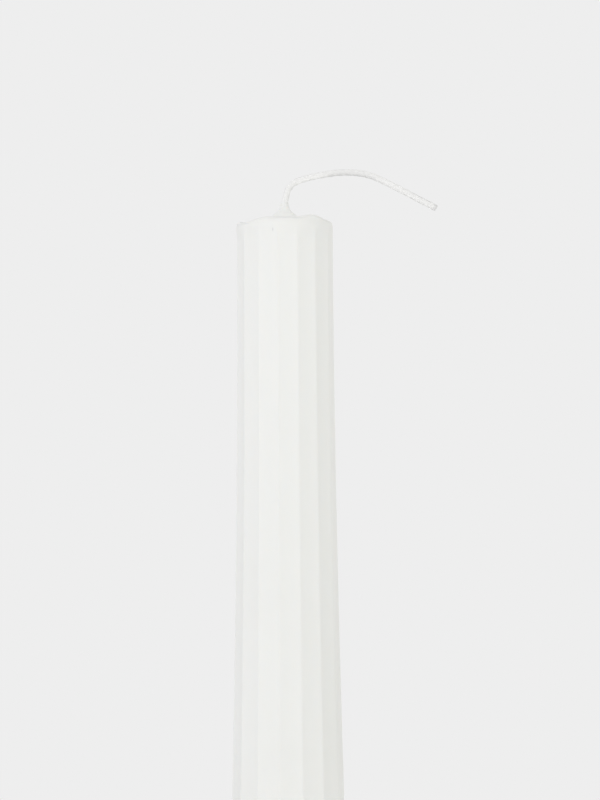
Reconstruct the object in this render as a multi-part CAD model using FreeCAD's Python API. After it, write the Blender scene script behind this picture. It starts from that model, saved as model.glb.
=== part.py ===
import FreeCAD, Part
import math
import os

# A ribbed dinner candle: one moulded, tapered wax body with a braided wick all the way through it.
# Millimetres, +Z up, origin at the middle of the flat foot, on the wick's axis.
# The side that the photograph shows faces -Y, and the wick curls over towards +X.

# Wax body, measured over the crests of the ribs
wax_height = 250.0
foot_diameter = 25.0
top_diameter = 15.7
flare_length = 75.0       # below the top, where the side leans out little by little
rim_radius = 0.4          # rounding between the side and the top face
foot_radius = 0.5         # rounding between the side and the foot

# Ribs: fifteen slightly hollow flutes that meet in rounded crests
rib_count = 15
first_crest_angle = 15.5  # degrees from -Y towards +X
crest_radius_foot = 0.80
crest_radius_top = 0.50
flute_hollow_foot = 0.12  # how far a flute sinks below the straight line from crest to crest
flute_hollow_top = 0.07

# How many straight steps stand for each curve up the side
rounding_steps = 4
flare_steps = 5

# Wax drawn up the wick, a small cone with a hollow flank
nub_height = 3.3
nub_diameter = 6.8
nub_hollow = 0.5          # how far its flank sinks below the straight line from foot to tip
nub_wall = 0.13           # wax left round the wick at the cone's tip
nub_root = 1.0            # how deep the cone is sunk into the body, so that both are one casting

# Braided cotton wick, waxed stiff
wick_diameter = 1.1
wick_bend_share = 0.45    # part of the shorter run that an arc takes at each point

# The free wick's route: x, y and height above the top face, chosen by hand after the photograph
wick_route = [
    (0.00, 0.00, 2.90),
    (0.24, 0.02, 4.25),
    (0.50, 0.05, 5.32),
    (1.04, 0.10, 6.26),
    (2.05, 0.20, 6.92),
    (3.65, 0.40, 7.44),
    (5.95, 0.72, 8.00),
    (8.75, 1.00, 8.47),
    (11.50, 1.08, 8.46),
    (13.90, 0.92, 8.02),
    (16.05, 0.55, 7.00),
    (18.30, 0.08, 5.76),
    (20.70, -0.32, 4.40),
    (22.80, -0.55, 3.22),
    (24.74, -0.62, 2.20),
]


def taper_radius(z):
    """Crest radius at height z: an even taper that eases into an upright side at the top."""
    lean = (foot_diameter - top_diameter) / 2 / (wax_height - flare_length / 2)
    below_top = wax_height - z
    if below_top > flare_length:
        return top_diameter / 2 + lean * (below_top - flare_length / 2)
    return top_diameter / 2 + lean * below_top ** 2 / (2 * flare_length)


def between(z, at_foot, at_top):
    """A size that changes evenly with height."""
    return at_foot + (at_top - at_foot) * z / wax_height


def polar(radius, angle, z):
    """Point at a radius and at an angle counted from -Y towards +X."""
    return FreeCAD.Vector(radius * math.sin(angle), -radius * math.cos(angle), z)


def rib_section(z, inset):
    """Closed outline at height z, moved in by inset: hollow flutes joined by tangent crests."""
    crest = taper_radius(z) - inset
    crest_radius = between(z, crest_radius_foot, crest_radius_top)
    hollow = between(z, flute_hollow_foot, flute_hollow_top)
    half_pitch = math.pi / rib_count
    crest_centre = crest - crest_radius
    across = crest_centre * math.cos(half_pitch)
    aside = crest_centre * math.sin(half_pitch)
    # The flute's arc has its centre outside the wax and touches the crest arcs on both sides
    flute_radius = (aside ** 2 + hollow ** 2) / (2 * hollow) - crest_radius
    flute_floor = across + crest_radius - hollow
    flute_centre = flute_floor + flute_radius
    share = crest_radius / (crest_radius + flute_radius)
    touch_out = crest_centre + (flute_centre * math.cos(half_pitch) - crest_centre) * share
    touch_aside = flute_centre * math.sin(half_pitch) * share
    touch_radius = math.hypot(touch_out, touch_aside)
    touch_angle = math.atan2(touch_aside, touch_out)

    edges = []
    for rib in range(rib_count):
        crest_angle = math.radians(first_crest_angle) + 2 * half_pitch * rib
        flute_angle = crest_angle + half_pitch
        crest_start = polar(touch_radius, crest_angle - touch_angle, z)
        crest_end = polar(touch_radius, crest_angle + touch_angle, z)
        next_start = polar(touch_radius, crest_angle + 2 * half_pitch - touch_angle, z)
        edges.append(Part.Arc(crest_start, polar(crest, crest_angle, z), crest_end).toShape())
        edges.append(Part.Arc(crest_end, polar(flute_floor, flute_angle, z), next_start).toShape())
    return Part.Wire(edges)


def rounding(radius):
    """Stations of a quarter circle from a flat end on to the side: (distance from the end, inset)."""
    stations = []
    for step in range(rounding_steps + 1):
        turn = math.pi / 2 * step / rounding_steps
        stations.append((radius * (1 - math.cos(turn)), radius * (1 - math.sin(turn))))
    return stations


def ribbed_taper():
    """Solid of the ribbed side from the foot to the top face, both ends rounded."""
    stations = rounding(foot_radius)
    flare_foot = wax_height - flare_length
    flare_top = wax_height - rim_radius
    for step in range(flare_steps):
        stations.append((flare_foot + (flare_top - flare_foot) * step / flare_steps, 0))
    for below_top, inset in reversed(rounding(rim_radius)):
        stations.append((wax_height - below_top, inset))
    return Part.makeLoft([rib_section(z, inset) for z, inset in stations], True, True)


def nub():
    """Cone of wax at the wick's foot, its flank one hollow arc."""
    top_radius = wick_diameter / 2 + nub_wall
    foot = FreeCAD.Vector(nub_diameter / 2, 0, wax_height)
    tip = FreeCAD.Vector(top_radius, 0, wax_height + nub_height)
    flank = tip - foot
    inward = FreeCAD.Vector(-flank.z, 0, flank.x).normalize()
    middle = (foot + tip) / 2 + inward * nub_hollow
    axis_tip = FreeCAD.Vector(0, 0, wax_height + nub_height)
    axis_root = FreeCAD.Vector(0, 0, wax_height - nub_root)
    root = FreeCAD.Vector(nub_diameter / 2, 0, wax_height - nub_root)
    outline = Part.Wire([
        Part.LineSegment(axis_root, root).toShape(),
        Part.LineSegment(root, foot).toShape(),
        Part.Arc(foot, middle, tip).toShape(),
        Part.LineSegment(tip, axis_tip).toShape(),
        Part.LineSegment(axis_tip, axis_root).toShape(),
    ])
    return Part.Face(outline).revolve(FreeCAD.Vector(0, 0, 0), FreeCAD.Vector(0, 0, 1), 360)


def wick_path():
    """Straight runs joined by tangent arcs, from the foot up through the wax and along the free route."""
    points = [FreeCAD.Vector(0, 0, 0)]
    for x, y, rise in wick_route:
        points.append(FreeCAD.Vector(x, y, wax_height + rise))
    edges = []
    radii = []
    start = points[0]
    for before, point, after in zip(points, points[1:], points[2:]):
        back = before - point
        ahead = after - point
        turn = math.pi - back.getAngle(ahead)
        setback = wick_bend_share * min(back.Length, ahead.Length)
        radius = setback / math.tan(turn / 2)
        radii.append(round(radius, 1))
        back.normalize()
        ahead.normalize()
        arc_start = point + back * setback
        arc_end = point + ahead * setback
        inward = (back + ahead).normalize()
        arc_middle = point + inward * (radius / math.cos(turn / 2) - radius)
        edges.append(Part.LineSegment(start, arc_start).toShape())
        edges.append(Part.Arc(arc_start, arc_middle, arc_end).toShape())
        start = arc_end
    edges.append(Part.LineSegment(start, points[-1]).toShape())
    print("wick bend radii", radii)
    return Part.Wire(edges)


def wick():
    """Round tube of wick swept along its path."""
    path = wick_path()
    section = Part.Wire([Part.makeCircle(wick_diameter / 2)])
    solid = path.makePipeShell([section], True, False)
    print("wick length", round(path.Length, 2))
    print("wick volume over section times length",
          round(solid.Volume / (math.pi * wick_diameter ** 2 / 4 * path.Length), 4))
    return solid


def wax_body(wick_solid):
    """The one moulded piece of wax: ribbed taper and nub, with the wick's bore."""
    return ribbed_taper().fuse(nub()).cut(wick_solid)


os.makedirs("parts", exist_ok=True)
wick_solid = wick()
pieces = {"wax_body": wax_body(wick_solid), "wick": wick_solid}
for name, shape in pieces.items():
    print(name, "valid", shape.isValid(), "solids", len(shape.Solids), "faces", len(shape.Faces),
          "volume", round(shape.Volume, 1))
    shape.exportStep(os.path.join("parts", name + ".step"))
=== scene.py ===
import math

import bpy
from mathutils import Matrix, Vector


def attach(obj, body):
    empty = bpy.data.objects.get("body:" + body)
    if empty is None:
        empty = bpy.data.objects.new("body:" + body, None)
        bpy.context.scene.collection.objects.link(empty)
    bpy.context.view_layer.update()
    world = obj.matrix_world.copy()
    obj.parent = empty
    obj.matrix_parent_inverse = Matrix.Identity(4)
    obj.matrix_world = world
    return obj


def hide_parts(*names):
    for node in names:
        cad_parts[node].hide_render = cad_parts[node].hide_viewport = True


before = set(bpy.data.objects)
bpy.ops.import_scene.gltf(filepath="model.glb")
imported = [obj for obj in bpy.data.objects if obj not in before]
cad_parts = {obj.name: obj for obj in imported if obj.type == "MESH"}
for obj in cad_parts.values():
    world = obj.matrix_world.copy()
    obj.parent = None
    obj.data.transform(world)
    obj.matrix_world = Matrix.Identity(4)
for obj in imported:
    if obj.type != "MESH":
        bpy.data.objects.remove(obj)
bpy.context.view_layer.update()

# Braided wick.
# One length of cotton braid, three strands soaked in wax until it stands by itself. It runs up through
# the wax body from the foot, comes out of the tip of a small wax cone, and its free end curls over to
# one side.
wax_height = 0.250
wick_diameter = 0.0011
wick_seat = 0.249             # where the stretch inside the wax meets the free stretch
wick_exit = 0.2533            # tip of the wax cone, where the wick comes out
# The free route's points: x, y and height above the top face
wick_route = [
    (0.00000, 0.00000, 0.00290),
    (0.00024, 0.00002, 0.00425),
    (0.00050, 0.00005, 0.00532),
    (0.00104, 0.00010, 0.00626),
    (0.00205, 0.00020, 0.00692),
    (0.00365, 0.00040, 0.00744),
    (0.00595, 0.00072, 0.00800),
    (0.00875, 0.00100, 0.00847),
    (0.01150, 0.00108, 0.00846),
    (0.01390, 0.00092, 0.00802),
    (0.01605, 0.00055, 0.00700),
    (0.01830, 0.00008, 0.00576),
    (0.02070, -0.00032, 0.00440),
    (0.02280, -0.00055, 0.00322),
    (0.02474, -0.00062, 0.00220),
]
# Distances along the free wick from its seat: where each stretch begins, and where it is fully there
climb_starts = (0.0070, 0.0090)
arc_starts = (0.0125, 0.0150)
arc_ends = (0.0205, 0.0235)
fall_starts = (0.0200, 0.0240)
tip_starts = (0.0265, 0.0290)
cut_end_starts = (0.0325, 0.0329)
# Cotton: its shades, a paler one painted on as light, and how much painted shade or grey each place takes
cotton_shades = ((0.858, 0.858, 0.848, 1.0), (0.882, 0.882, 0.872, 1.0))
underside_painted_light = (0.95, 0.95, 0.94, 1.0)
shade_and_cut_end_grey = (0.63, 0.63, 0.63, 1.0)
arc_painted_shade = 0.08
arc_underside_painted_shade = 0.34
tip_painted_shade = 0.60
cut_end_grey = 0.40
fibre_twist = 900.0           # radians that the fibres turn in a metre of strand
fibre_length_scale = 250.0    # the fibres are long and thin, so the pattern is stretched along them


class Value:
    """A socket that carries a number. Arithmetic on it adds Math nodes to its tree."""

    def __init__(self, socket):
        self.socket = socket

    def math(self, operation, *others):
        """A Math node with this value first."""
        node = self.socket.id_data.nodes.new("ShaderNodeMath")
        node.operation = operation
        for slot, operand in zip(node.inputs, (self, *others)):
            connect(slot, operand)
        return Value(node.outputs[0])

    def reflected(self, operation, other):
        """A Math node with this value last."""
        node = self.socket.id_data.nodes.new("ShaderNodeMath")
        node.operation = operation
        connect(node.inputs[0], other)
        connect(node.inputs[1], self)
        return Value(node.outputs[0])

    def __add__(self, other):
        return self.math("ADD", other)

    def __radd__(self, other):
        return self.math("ADD", other)

    def __sub__(self, other):
        return self.math("SUBTRACT", other)

    def __rsub__(self, other):
        return self.reflected("SUBTRACT", other)

    def __mul__(self, other):
        return self.math("MULTIPLY", other)

    def __rmul__(self, other):
        return self.math("MULTIPLY", other)

    def __truediv__(self, other):
        return self.math("DIVIDE", other)

    def __rtruediv__(self, other):
        return self.reflected("DIVIDE", other)

    def __mod__(self, other):
        return self.math("FLOORED_MODULO", other)

    def __neg__(self):
        return self.reflected("SUBTRACT", 0.0)


def connect(slot, source):
    """Links a value or a node's first output to a socket, or sets the socket to a constant."""
    if isinstance(source, Value):
        slot.id_data.links.new(source.socket, slot)
    elif isinstance(source, bpy.types.NodeSocket):
        slot.id_data.links.new(source, slot)
    elif isinstance(source, bpy.types.Node):
        slot.id_data.links.new(source.outputs[0], slot)
    else:
        slot.default_value = source


def add(tree, kind, settings=None, inputs=None):
    """Adds a node of any kind: its settings first, then the values or links of its sockets."""
    node = tree.nodes.new(kind)
    for name, setting in (settings or {}).items():
        setattr(node, name, setting)
    for name, source in (inputs or {}).items():
        connect(node.inputs[name], source)
    return node


def smooth_step(value, low, high):
    """Rises smoothly from 0 at low to 1 at high."""
    tree = value.socket.id_data
    settings = {"interpolation_type": "SMOOTHSTEP"}
    inputs = {"Value": value, "From Min": low, "From Max": high}
    return Value(add(tree, "ShaderNodeMapRange", settings, inputs).outputs[0])


def vector_math(tree, operation, *vectors):
    """Adds a Vector Math node of any operation on the vectors."""
    return add(tree, "ShaderNodeVectorMath", {"operation": operation}, dict(enumerate(vectors)))


def scaled(tree, vector, factor):
    """A vector made longer or shorter by a factor."""
    node = vector_math(tree, "SCALE", vector)
    connect(node.inputs["Scale"], factor)
    return node


def noise(tree, place, scale, detail, roughness):
    """Soft noise around one half at a place."""
    inputs = {"Vector": place, "Scale": scale, "Detail": detail, "Roughness": roughness}
    return Value(add(tree, "ShaderNodeTexNoise", None, inputs).outputs["Fac"])


def mixed(tree, share, first, second):
    """Colour that passes from the first to the second as the share goes from 0 to 1."""
    mix = add(tree, "ShaderNodeMix", {"data_type": "RGBA"}, {"Factor": share, "A": first, "B": second})
    return mix.outputs["Result"]


def stored(tree, kind, geometry, name, value):
    """Geometry that carries a value under a name on its points."""
    settings = {"data_type": kind, "domain": "POINT"}
    inputs = {"Geometry": geometry, "Name": name, "Value": value}
    return add(tree, "GeometryNodeStoreNamedAttribute", settings, inputs)


def geometry_tree(name, sizes):
    """Node tree for a modifier: a geometry input, a named number input for each size, an output."""
    tree = bpy.data.node_groups.new(name, "GeometryNodeTree")
    tree.interface.new_socket("Geometry", in_out="INPUT", socket_type="NodeSocketGeometry")
    for label, size in sizes.items():
        kind = "NodeSocketInt" if isinstance(size, int) else "NodeSocketFloat"
        tree.interface.new_socket(label, in_out="INPUT", socket_type=kind)
    tree.interface.new_socket("Geometry", in_out="OUTPUT", socket_type="NodeSocketGeometry")
    entry = tree.nodes.new("NodeGroupInput")
    values = {label: Value(entry.outputs[label]) for label in sizes}
    return tree, entry.outputs["Geometry"], values


def finish_tree(tree, geometry, material):
    """Ends a tree: instances made real, the material set, the result handed out."""
    real = add(tree, "GeometryNodeRealizeInstances", None, {"Geometry": geometry})
    painted = add(tree, "GeometryNodeSetMaterial", None, {"Geometry": real, "Material": material})
    result = tree.nodes.new("NodeGroupOutput")
    connect(result.inputs["Geometry"], painted)


def grown(name, source, tree, sizes):
    """A plain mesh object from a source object and a tree, with the tree's inputs set to sizes."""
    modifier = source.modifiers.new(tree.name, "NODES")
    modifier.node_group = tree
    for item in tree.interface.items_tree:
        if item.in_out == "INPUT" and item.name in sizes:
            modifier[item.identifier] = sizes[item.name]
    bpy.context.view_layer.update()
    evaluated = source.evaluated_get(bpy.context.evaluated_depsgraph_get())
    mesh = bpy.data.meshes.new_from_object(evaluated)
    source.modifiers.remove(modifier)
    piece = bpy.data.objects.new(name, mesh)
    bpy.context.collection.objects.link(piece)
    return piece


def route_track(name, points, order):
    """A NURBS line through space as a mesh of edges, with the points in order along it."""
    curve = bpy.data.curves.new(name, "CURVE")
    curve.dimensions = "3D"
    spline = curve.splines.new("NURBS")
    spline.points.add(len(points) - 1)
    for slot, point in zip(spline.points, points):
        slot.co = (*point, 1.0)
    spline.order_u = order
    spline.use_endpoint_u = True
    spline.resolution_u = 24
    line = bpy.data.objects.new(name, curve)
    bpy.context.collection.objects.link(line)
    bpy.context.view_layer.update()
    track = bpy.data.objects.new(name + "_track", bpy.data.meshes.new_from_object(line))
    bpy.context.collection.objects.link(track)
    bpy.data.objects.remove(line)
    return track


def wick_material():
    """Waxed white cotton: fine fibres along each strand under a thin, soft coat of wax."""
    material = bpy.data.materials.new("waxed_cotton")
    material.use_nodes = True
    tree = material.node_tree
    shader = tree.nodes["Principled BSDF"]
    along = Value(add(tree, "ShaderNodeAttribute", {"attribute_name": "strand_along"}).outputs["Fac"])
    side = add(tree, "ShaderNodeAttribute", {"attribute_name": "strand_side"}).outputs["Vector"]
    across = add(tree, "ShaderNodeSeparateXYZ", None, {"Vector": side}).outputs
    # The fibres run along the strand and turn slowly round it
    twist = along * fibre_twist
    fibre_place = add(tree, "ShaderNodeCombineXYZ", None, {
        "X": Value(across["X"]) * twist.math("COSINE") - Value(across["Y"]) * twist.math("SINE"),
        "Y": Value(across["X"]) * twist.math("SINE") + Value(across["Y"]) * twist.math("COSINE"),
        "Z": along * fibre_length_scale,
    })
    fibres = noise(tree, fibre_place, scale=6.0, detail=3.0, roughness=0.55)
    cotton_shade = mixed(tree, smooth_step(fibres, 0.3, 0.7), *cotton_shades)
    # How far the surface faces the inner side of the curl: 1 on the underside, -1 on the outer side
    inner_way = add(tree, "ShaderNodeAttribute", {"attribute_name": "curl_inner"}).outputs["Vector"]
    facing = add(tree, "ShaderNodeTexCoord").outputs["Normal"]
    inward = Value(vector_math(tree, "DOT_PRODUCT", facing, inner_way).outputs["Value"])
    # Painted light: the underside is painted paler, most of all where the wick climbs to its arc
    less_on_arc = smooth_step(along, *arc_starts) * 0.4
    less_beyond = smooth_step(along, *fall_starts) * 0.3
    painted_light_share = smooth_step(along, *climb_starts) - less_on_arc - less_beyond
    cotton_with_painted_light = mixed(tree, smooth_step(inward, -0.1, 0.6) * painted_light_share, cotton_shade, underside_painted_light)
    # Painted shade greys the arc, most of all its underside, and the top of the tip; the cut end is
    # greyer
    arc = smooth_step(along, *arc_starts) * (1.0 - smooth_step(along, *arc_ends))
    underside = smooth_step(inward, -0.6, 0.9)
    outer_tip = smooth_step(-inward, 0.3, 1.0) * smooth_step(along, *tip_starts)
    cut_end = smooth_step(along, *cut_end_starts)
    on_arc = arc * (arc_painted_shade + underside * arc_underside_painted_shade)
    painted_shade_and_cut_end = on_arc + outer_tip * tip_painted_shade + cut_end * cut_end_grey
    cotton_with_shade_and_cut_end = mixed(tree, painted_shade_and_cut_end.math("MINIMUM", 1.0), cotton_with_painted_light, shade_and_cut_end_grey)
    connect(shader.inputs["Base Color"], cotton_with_shade_and_cut_end)
    connect(shader.inputs["Roughness"], 0.55 + fibres * 0.1)
    shader.inputs["Specular IOR Level"].default_value = 0.2
    bump = add(tree, "ShaderNodeBump", None, {"Height": fibres, "Strength": 0.08, "Distance": 0.00001})
    connect(shader.inputs["Normal"], bump)
    return material


wick_sizes = {
    "Swing": 0.00029,           # how far a strand's centre swings sideways in the braid
    "Cross Height": 0.00020,    # and how far it passes over and under its neighbours
    "Plait Length": 0.0045,     # length of braid in which a strand comes back to its place
    "Strand Radius": 0.00026,
    "Fill Radius": 0.00050,     # wax round and between the strands, which stand out of it a little
    "Step": 0.00010,            # distance between the rings of points along a strand
}
inside_step = 0.00060         # the same inside the wax, where the wick is straight


def braid_tree(material):
    """Three strands and their filling of wax along a line of edges, cut off flat at the candle's foot."""
    strands = 3
    sides = 14
    tree, line, size = geometry_tree("braid", wick_sizes)
    curve = add(tree, "GeometryNodeMeshToCurve", None, {"Mesh": line})
    track = add(tree, "GeometryNodeResampleCurve", {"mode": "LENGTH"}, {
        "Curve": curve, "Length": size["Step"],
    })
    along = Value(add(tree, "GeometryNodeSplineParameter").outputs["Length"])
    marked = stored(tree, "FLOAT", track, "strand_along", along)
    ring = add(tree, "GeometryNodeCurvePrimitiveCircle", None, {"Resolution": sides, "Radius": 1.0})
    ring_point = add(tree, "GeometryNodeInputPosition")
    marked_ring = stored(tree, "FLOAT_VECTOR", ring.outputs["Curve"], "strand_side", ring_point)
    tangent = add(tree, "GeometryNodeInputTangent")
    aside = vector_math(tree, "NORMALIZE", vector_math(tree, "CROSS_PRODUCT", (0.0, 1.0, 0.0), tangent))
    across = vector_math(tree, "CROSS_PRODUCT", tangent, aside)
    # The sideways direction is also the one towards the inner side of the curl
    guided = stored(tree, "FLOAT_VECTOR", marked, "curl_inner", aside)
    skins = tree.nodes.new("GeometryNodeJoinGeometry")

    def skin(path, radius):
        """Joins a tube round the path to the others."""
        profile = add(tree, "GeometryNodeTransform", None, {"Geometry": marked_ring})
        scale = add(tree, "ShaderNodeCombineXYZ", None, {"X": radius, "Y": radius, "Z": 1.0})
        connect(profile.inputs["Scale"], scale)
        tube = add(tree, "GeometryNodeCurveToMesh", None, {
            "Curve": path, "Profile Curve": profile, "Fill Caps": True,
        })
        tree.links.new(tube.outputs["Mesh"], skins.inputs["Geometry"])

    for strand in range(strands):
        phase = along * math.tau / size["Plait Length"] + math.tau * strand / strands
        swing = scaled(tree, aside, phase.math("SINE") * size["Swing"])
        rise = scaled(tree, across, (phase * 2.0).math("SINE") * size["Cross Height"])
        shift = vector_math(tree, "ADD", swing, rise)
        shifted = add(tree, "GeometryNodeSetPosition", None, {"Geometry": guided, "Offset": shift})
        skin(shifted, size["Strand Radius"])
    skin(guided, size["Fill Radius"])

    spot = add(tree, "ShaderNodeSeparateXYZ", None, {0: add(tree, "GeometryNodeInputPosition")}).outputs
    above_foot = add(tree, "ShaderNodeCombineXYZ", None, {
        "X": Value(spot["X"]), "Y": Value(spot["Y"]), "Z": Value(spot["Z"]).math("MAXIMUM", 0.0),
    })
    cut = add(tree, "GeometryNodeSetPosition", None, {"Geometry": skins, "Position": above_foot})
    smooth = add(tree, "GeometryNodeSetShadeSmooth", None, {"Geometry": cut})
    finish_tree(tree, smooth, material)
    return tree


cotton = wick_material()
braid = braid_tree(cotton)

free_route = [(0.0, 0.0, wick_seat)] + [(x, y, wax_height + rise) for x, y, rise in wick_route]
free_track = route_track("wick_free_route", free_route, 3)
wick_free = grown("wick_free", free_track, braid, wick_sizes)
bpy.data.objects.remove(free_track)
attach(wick_free, "root")
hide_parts("wick")

inside_track = route_track("wick_inside_route", [(0.0, 0.0, 0.0), (0.0, 0.0, wick_seat)], 2)
wick_inside = grown("wick_inside", inside_track, braid, {**wick_sizes, "Step": inside_step})
bpy.data.objects.remove(inside_track)
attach(wick_inside, "root")
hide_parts("wick")


# Wax body.
# White candle wax cast in one piece round the wick: fifteen slightly hollow flutes between rounded
# crests, a rounded rim, a flat foot and a small cone of wax drawn up the wick. The rim slumped a little
# in one place and has a lump in another.
foot_diameter = 0.0250
top_diameter = 0.0157
flare_length = 0.075
rim_radius = 0.00055
foot_radius = 0.0005
fade_length = 0.0035          # below the rim, where the flutes grow out of a plain round end
nub_height = wick_exit - wax_height
nub_radius = 0.0034
nub_tip_radius = wick_diameter / 2 + 0.00013
bore_radius = wick_diameter / 2
bore_top = 0.244              # above this the wax has soaked into the wick, and the two are one
fleck_place = (-0.00190, -0.00762, 0.24778)
fleck_reach = (0.00013, 0.00040, 0.00045)
uneven_depth = 0.0025         # how far below the top face the slump and the lump reach

# Shades of the wax; the paler top shade is painted light, and the grey rim shade is painted shade
wax_shades = ((0.858, 0.865, 0.838, 1.0), (0.870, 0.877, 0.852, 1.0))
top_painted_light = (0.885, 0.892, 0.868, 1.0)
rim_painted_shade = (0.785, 0.785, 0.775, 1.0)
cone_shade = (0.845, 0.850, 0.835, 1.0)
fleck_shade = (0.76, 0.76, 0.75, 1.0)
# Heights, or distances from the axis, where a shade begins and where it is fully there
top_levels = (0.150, 0.240)
cone_levels = (wax_height + 0.0014, wax_height + 0.0030)
rim_shade_levels = (wax_height - 0.0014, wax_height - 0.0005)
rim_shade_radii = (0.0066, 0.0073)
rim_shade_fades = (0.0005, 0.0040)          # where the painted rim shade fades to the left and right

wax_sizes = {
    "Ribs": 15,
    "First Crest": math.radians(15.5),   # from -Y towards +X
    "Crest Radius Foot": 0.00080,
    "Crest Radius Top": 0.00050,
    "Flute Hollow Foot": 0.00012,        # below the straight line from crest to crest
    "Flute Hollow Top": 0.00007,
    "Slump Place": math.radians(-55),
    "Slump Width": math.radians(28),
    "Slump Depth": 0.00052,
    "Lump Place": math.radians(38.5),
    "Lump Width": math.radians(22),
    "Lump Height": 0.00048,
}
points_around = 360
points_per_stretch = 10
merge_distance = 0.0000005    # points this near each other are one, at the seam and on the axis
crowding_share = 0.6          # 0 spaces the columns of points evenly, 1 closes them up at the crests


def wax_material():
    """White candle wax: it lets light in a little way, has a soft sheen and is faintly cloudy."""
    material = bpy.data.materials.new("candle_wax")
    material.use_nodes = True
    tree = material.node_tree
    shader = tree.nodes["Principled BSDF"]
    coordinates = add(tree, "ShaderNodeTexCoord").outputs
    place = coordinates["Object"]
    clouds = noise(tree, place, scale=90.0, detail=4.0, roughness=0.55)
    grain = noise(tree, place, scale=1400.0, detail=2.0, roughness=0.5)
    cloudy = mixed(tree, smooth_step(clouds, 0.35, 0.65), *wax_shades)
    # Painted light: the wax is painted a shade paler towards the top
    place_parts = add(tree, "ShaderNodeSeparateXYZ", None, {"Vector": place}).outputs
    level = Value(place_parts["Z"])
    paler = mixed(tree, smooth_step(level, *top_levels), cloudy, top_painted_light)
    # Painted shade: the rim's rounding is painted a little grey, less so at left and right. The grey is
    # fainter where the rounding turns flat, and it fades out on the side just below
    facing = add(tree, "ShaderNodeSeparateXYZ", None, {"Vector": coordinates["Normal"]}).outputs
    upward = Value(facing["Z"])
    level_place = vector_math(tree, "MULTIPLY", place, (1.0, 1.0, 0.0))
    from_axis = Value(vector_math(tree, "LENGTH", level_place).outputs["Value"])
    on_rounding = smooth_step(upward, 0.025, 0.15) * (1.0 - smooth_step(upward, 0.45, 0.90) * 0.7)
    below_rounding = smooth_step(level, *rim_shade_levels) * 0.25
    less_at_sides = 1.0 - smooth_step(Value(place_parts["X"]).math("ABSOLUTE"), *rim_shade_fades) * 0.6
    on_edge = smooth_step(from_axis, *rim_shade_radii) * less_at_sides
    rim_shaded = mixed(tree, on_rounding.math("MAXIMUM", below_rounding) * on_edge, paler, rim_painted_shade)
    # The thin tip of the cone is a shade greyer
    thin = mixed(tree, smooth_step(level, *cone_levels), rim_shaded, cone_shade)
    # One small dark fleck sits in a nick on the front, just below the rim
    from_fleck = vector_math(tree, "SUBTRACT", place, fleck_place)
    fleck_share = vector_math(tree, "DIVIDE", from_fleck, fleck_reach)
    fleck_away = Value(vector_math(tree, "LENGTH", fleck_share).outputs["Value"])
    fleck = 1.0 - smooth_step(fleck_away, 0.4, 1.0)
    connect(shader.inputs["Base Color"], mixed(tree, fleck, thin, fleck_shade))
    connect(shader.inputs["Roughness"], 0.46 + clouds * 0.10 + grain * 0.06)
    shader.inputs["Subsurface Weight"].default_value = 0.12
    shader.inputs["Subsurface Radius"].default_value = (1.0, 0.9, 0.75)
    shader.inputs["Subsurface Scale"].default_value = 0.0006
    shader.inputs["IOR"].default_value = 1.44
    height = clouds * 0.6 + grain * 0.4 - fleck * 0.5
    bump = add(tree, "ShaderNodeBump", None, {"Height": height, "Strength": 0.25, "Distance": 0.00008})
    connect(shader.inputs["Normal"], bump)
    return material


def wax_outline():
    """The wax body's outline in the X-Z plane: foot, side, rim, top face, cone and the wick's bore."""
    lean = (foot_diameter - top_diameter) / 2 / (wax_height - flare_length / 2)
    foot_out = foot_diameter / 2
    top_out = top_diameter / 2
    flare_foot = wax_height - flare_length
    flare_out = top_out + lean * flare_length / 2
    side_foot_out = foot_out - lean * foot_radius
    fade_out = top_out + lean * fade_length ** 2 / (2 * flare_length)
    fade_bend_out = top_out + lean * fade_length / 2
    nub_waist = (nub_radius * 0.56, wax_height + nub_height * 0.39)
    nub_neck = (nub_tip_radius * 1.13, wax_height + nub_height * 0.80)
    # Each entry: a point, then the point that the outline bends towards on the way to the next one
    stretches = [
        ((0.0, bore_top), None),
        ((bore_radius, bore_top), None),
        ((bore_radius, 0.0), None),
        ((foot_out * 0.5, 0.0), None),
        ((foot_out - foot_radius, 0.0), (side_foot_out, 0.0)),
        ((side_foot_out, foot_radius), None),
        ((foot_out - lean * flare_foot * 0.33, flare_foot * 0.33), None),
        ((foot_out - lean * flare_foot * 0.66, flare_foot * 0.66), None),
        ((flare_out, flare_foot), (fade_bend_out, wax_height - (flare_length + fade_length) / 2)),
        ((fade_out, wax_height - fade_length), None),
        ((top_out, wax_height - rim_radius), (top_out, wax_height)),
        ((top_out - rim_radius, wax_height), None),
        ((nub_radius, wax_height), (nub_radius * 0.75, wax_height + nub_height * 0.12)),
        (nub_waist, (nub_tip_radius * 1.45, wax_height + nub_height * 0.58)),
        (nub_neck, (nub_tip_radius, wax_height + nub_height * 0.92)),
        ((nub_tip_radius, wax_height + nub_height), None),
        ((0.0, wax_height + nub_height), None),
    ]
    curve = bpy.data.curves.new("wax_outline", "CURVE")
    curve.dimensions = "3D"
    spline = curve.splines.new("BEZIER")
    spline.bezier_points.add(len(stretches) - 1)
    spline.resolution_u = points_per_stretch
    for knot, (point, _) in zip(spline.bezier_points, stretches):
        knot.co = (point[0], 0.0, point[1])
        knot.handle_left_type = "FREE"
        knot.handle_right_type = "FREE"
    for index in range(len(stretches) - 1):
        here, bend = stretches[index]
        there = stretches[index + 1][0]
        # A quadratic bend is a cubic one with its handles two thirds of the way to the bend's point
        target = bend or ((here[0] + there[0]) / 2, (here[1] + there[1]) / 2)
        start = [a + (b - a) * 2 / 3 for a, b in zip(here, target)]
        end = [a + (b - a) * 2 / 3 for a, b in zip(there, target)]
        spline.bezier_points[index].handle_right = (start[0], 0.0, start[1])
        spline.bezier_points[index + 1].handle_left = (end[0], 0.0, end[1])
    outline = bpy.data.objects.new("wax_outline", curve)
    bpy.context.collection.objects.link(outline)
    rows = (len(stretches) - 1) * points_per_stretch + 1
    return outline, rows


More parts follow.
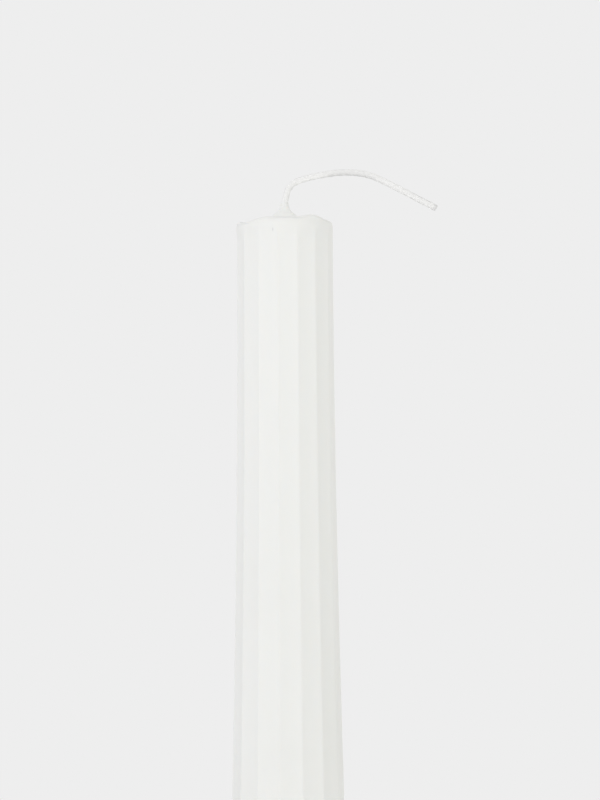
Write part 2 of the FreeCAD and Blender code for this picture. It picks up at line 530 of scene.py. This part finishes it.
def between(share, low, high):
    """A value that goes from low to high as the share goes from 0 to 1."""
    return low + share * (high - low)


def near_angle(angle, place, width):
    """Falls smoothly from 1 where the angle is place to 0 at width to either side of it."""
    away = (((angle - place + math.pi) % math.tau) - math.pi).math("ABSOLUTE")
    return 1.0 - smooth_step(away, 0.0, width)


def wax_tree(material, rows):
    """Turns the outline round the axis and presses the flutes, the slump and the lump into it."""
    tree, outline, size = geometry_tree("ribbed_wax", wax_sizes)
    stations = add(tree, "GeometryNodeCurveToPoints", {"mode": "EVALUATED"}, {"Curve": outline})
    columns = points_around + 1
    grid = add(tree, "GeometryNodeMeshGrid", None, {"Vertices X": columns, "Vertices Y": rows})
    index = Value(add(tree, "GeometryNodeInputIndex").outputs[0])
    station = add(tree, "GeometryNodeSampleIndex", {"data_type": "FLOAT_VECTOR", "domain": "POINT"}, {
        "Geometry": stations, "Value": add(tree, "GeometryNodeInputPosition"), "Index": index % rows,
    })
    spot = add(tree, "ShaderNodeSeparateXYZ", None, {0: station}).outputs
    radius = Value(spot["X"])
    height = Value(spot["Z"])
    # The columns of points crowd together at the crests, where the section bends most
    even = (index / rows).math("FLOOR") * (math.tau / points_around) + size["First Crest"]
    crowding = (size["Ribs"] * (even - size["First Crest"])).math("SINE") * crowding_share / size["Ribs"]
    angle = even - crowding

    # The crest's radius at this height: an even taper that eases into an upright side at the top
    lean = (foot_diameter - top_diameter) / 2 / (wax_height - flare_length / 2)
    below_top = (wax_height - height).math("MAXIMUM", 0.0)
    straight = top_diameter / 2 + (below_top - flare_length / 2) * lean
    eased = top_diameter / 2 + below_top * below_top * (lean / (2 * flare_length))
    on_taper = below_top.math("GREATER_THAN", flare_length)
    crest = on_taper * straight + (1.0 - on_taper) * eased

    # The section: a crest's arc, and a flute's arc that touches the crests on both sides
    foot_share = below_top / wax_height
    crest_radius = between(foot_share, size["Crest Radius Top"], size["Crest Radius Foot"])
    hollow = between(foot_share, size["Flute Hollow Top"], size["Flute Hollow Foot"])
    half_pitch = math.pi / size["Ribs"]
    crest_centre = crest - crest_radius
    across = crest_centre * half_pitch.math("COSINE")
    aside = crest_centre * half_pitch.math("SINE")
    flute_radius = (aside * aside + hollow * hollow) / (2.0 * hollow) - crest_radius
    flute_centre = across + crest_radius - hollow + flute_radius
    share = crest_radius / (crest_radius + flute_radius)
    touch_out = crest_centre + (flute_centre * half_pitch.math("COSINE") - crest_centre) * share
    touch_angle = (flute_centre * half_pitch.math("SINE") * share).math("ARCTAN2", touch_out)

    past_flute = (angle - size["First Crest"] + half_pitch) % (2.0 * half_pitch)
    from_crest = (past_flute - half_pitch).math("ABSOLUTE")
    from_floor = half_pitch - from_crest
    crest_side = crest_centre * from_crest.math("SINE")
    on_crest = crest_centre * from_crest.math("COSINE") + (
        crest_radius * crest_radius - crest_side * crest_side).math("MAXIMUM", 0.0).math("SQRT")
    floor_side = flute_centre * from_floor.math("SINE")
    in_flute = flute_centre * from_floor.math("COSINE") - (
        flute_radius * flute_radius - floor_side * floor_side).math("MAXIMUM", 0.0).math("SQRT")
    is_crest = from_crest.math("LESS_THAN", touch_angle)
    fluted_section = is_crest * on_crest + (1.0 - is_crest) * in_flute
    roundness = smooth_step(height, wax_height - fade_length, wax_height - rim_radius * 2)
    section = between(roundness, fluted_section, crest)

    # The flutes fade out towards the middle of the top face and of the foot
    outward = radius / crest
    fluted = radius * (1.0 - smooth_step(outward, 0.4, 0.9) * (1.0 - section / crest))

    # The rim slumped in one place and stands up in another
    slump = near_angle(angle, size["Slump Place"], size["Slump Width"]) * size["Slump Depth"]
    lump = near_angle(angle, size["Lump Place"], size["Lump Width"]) * size["Lump Height"]
    near_top = smooth_step(height, wax_height - uneven_depth, wax_height)
    at_rim = smooth_step(outward, 0.45, 0.95) * near_top
    uneven = height + at_rim * (lump - slump)

    position = add(tree, "ShaderNodeCombineXYZ", None, {
        "X": fluted * angle.math("SINE"),
        "Y": -(fluted * angle.math("COSINE")),
        "Z": uneven,
    })
    sheet = grid.outputs["Mesh"]
    rolled = add(tree, "GeometryNodeSetPosition", None, {"Geometry": sheet, "Position": position})
    closed = add(tree, "GeometryNodeMergeByDistance", None, {
        "Geometry": rolled, "Distance": merge_distance,
    })
    smooth = add(tree, "GeometryNodeSetShadeSmooth", None, {"Geometry": closed})
    finish_tree(tree, smooth, material)
    return tree


wax = wax_material()
outline, outline_rows = wax_outline()
wax_body = grown("wax_body_cast", outline, wax_tree(wax, outline_rows), wax_sizes)
bpy.data.objects.remove(outline)
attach(wax_body, "root")
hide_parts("wax_body")


# Floor.
# A plain pale sheet that the candle stands on. It isn't part of the candle.
floor_size = 12.0
floor_shade = (0.900, 0.900, 0.900, 1.0)
bpy.ops.mesh.primitive_plane_add(size=floor_size)
floor = bpy.context.object
floor.name = "floor"
paper = bpy.data.materials.new("pale_floor")
paper.use_nodes = True
paper_shader = paper.node_tree.nodes["Principled BSDF"]
paper_shader.inputs["Base Color"].default_value = floor_shade
paper_shader.inputs["Roughness"].default_value = 0.9
paper_shader.inputs["Specular IOR Level"].default_value = 0.0
floor.data.materials.append(paper)


# Light.
# Even light from all round, as in a white tent that is darker overhead and at both sides and a little
# cooler on the left, and a very soft, weak sun from the front.
background_grey = 0.855
light_level = 1.768
falls_to_zenith = 0.707
darkest_way = math.radians(76)       # from -Y towards +X; the left side is darkest the opposite way
# Share of the light that is missing at each side, and the shares of the way there where that begins
# and where it is fully so
darker_right = 0.290
darker_left = 0.343
right_reach = (0.22, 0.57)
left_reach = (0.18, 0.84)
left_tint = (0.990, 0.986, 1.022, 1.0)
right_tint = (1.013, 1.010, 0.970, 1.0)
world = bpy.data.worlds.new("studio")
bpy.context.scene.world = world
world.use_nodes = True
sky = world.node_tree
surroundings = sky.nodes["Background"]
sky_direction = add(sky, "ShaderNodeTexCoord").outputs["Generated"]
sky_way = add(sky, "ShaderNodeSeparateXYZ", None, {"Vector": sky_direction}).outputs
sky_x, sky_y, sky_z = Value(sky_way["X"]), Value(sky_way["Y"]), Value(sky_way["Z"])
connect(surroundings.inputs["Color"], mixed(sky, sky_x * 0.5 + 0.5, left_tint, right_tint))
to_right = sky_x * math.sin(darkest_way) - sky_y * math.cos(darkest_way)
missing_right = smooth_step(to_right, *right_reach) * darker_right
missing_left = smooth_step(-to_right, *left_reach) * darker_left
at_this_height = 1.0 - sky_z * falls_to_zenith
at_this_side = 1.0 - (missing_right + missing_left)
connect(surroundings.inputs["Strength"], at_this_height * at_this_side * light_level)
backdrop = add(sky, "ShaderNodeBackground", None, {
    "Color": (background_grey, background_grey, background_grey, 1.0), "Strength": 1.0,
})
seen = add(sky, "ShaderNodeLightPath").outputs
seen_directly = Value(seen["Is Camera Ray"]).math("MAXIMUM", Value(seen["Is Glossy Ray"]))
seen_plainly = seen_directly.math("MAXIMUM", Value(seen["Is Transmission Ray"]))
choice = add(sky, "ShaderNodeMixShader", None, {0: seen_plainly, 1: surroundings, 2: backdrop})
connect(sky.nodes["World Output"].inputs["Surface"], choice)

key_azimuth = math.radians(-23)
key_elevation = math.radians(10)
key = bpy.data.lights.new("key", "SUN")
key.energy = 0.349
key.angle = math.radians(50)
key_object = bpy.data.objects.new("key", key)
bpy.context.collection.objects.link(key_object)
key_from = Vector((
    math.sin(key_azimuth) * math.cos(key_elevation),
    -math.cos(key_azimuth) * math.cos(key_elevation),
    math.sin(key_elevation),
))
key_object.rotation_mode = "QUATERNION"
key_object.rotation_quaternion = (-key_from).to_track_quat("-Z", "Y")


# Camera.
# A long lens from the front, low down, looking up at the candle's top by eight degrees, so that the rim
# hides the top face. The view leans a little, and its frame cuts off the lower part of the candle.
image_width = 600
image_height = 800
metres_per_pixel = 0.0001632
top_pixel_x = 284.5
top_pixel_y = 223.0
camera_elevation = math.radians(-7.8)
camera_roll = math.radians(0.36)
camera_distance = 1.35
sensor = 36.0
forward = Vector((0.0, math.cos(camera_elevation), -math.sin(camera_elevation)))
level_right = Vector((1.0, 0.0, 0.0))
level_up = level_right.cross(forward)
right = level_right * math.cos(camera_roll) - level_up * math.sin(camera_roll)
up = level_up * math.cos(camera_roll) + level_right * math.sin(camera_roll)
top_centre = Vector((0.0, 0.0, wax_height))
aim = top_centre - metres_per_pixel * (
    (top_pixel_x - image_width / 2) * right + (image_height / 2 - top_pixel_y) * up
)
lens = bpy.data.cameras.new("camera")
lens.sensor_width = sensor
lens.lens = sensor * camera_distance / (image_height * metres_per_pixel)
lens.clip_start = 0.05
lens.clip_end = 50.0
camera = bpy.data.objects.new("camera", lens)
bpy.context.collection.objects.link(camera)
eye = aim - forward * camera_distance
camera.matrix_world = Matrix((
    (right.x, up.x, -forward.x, eye.x),
    (right.y, up.y, -forward.y, eye.y),
    (right.z, up.z, -forward.z, eye.z),
    (0.0, 0.0, 0.0, 1.0),
))
bpy.context.scene.camera = camera
bpy.context.scene.view_settings.view_transform = "Standard"
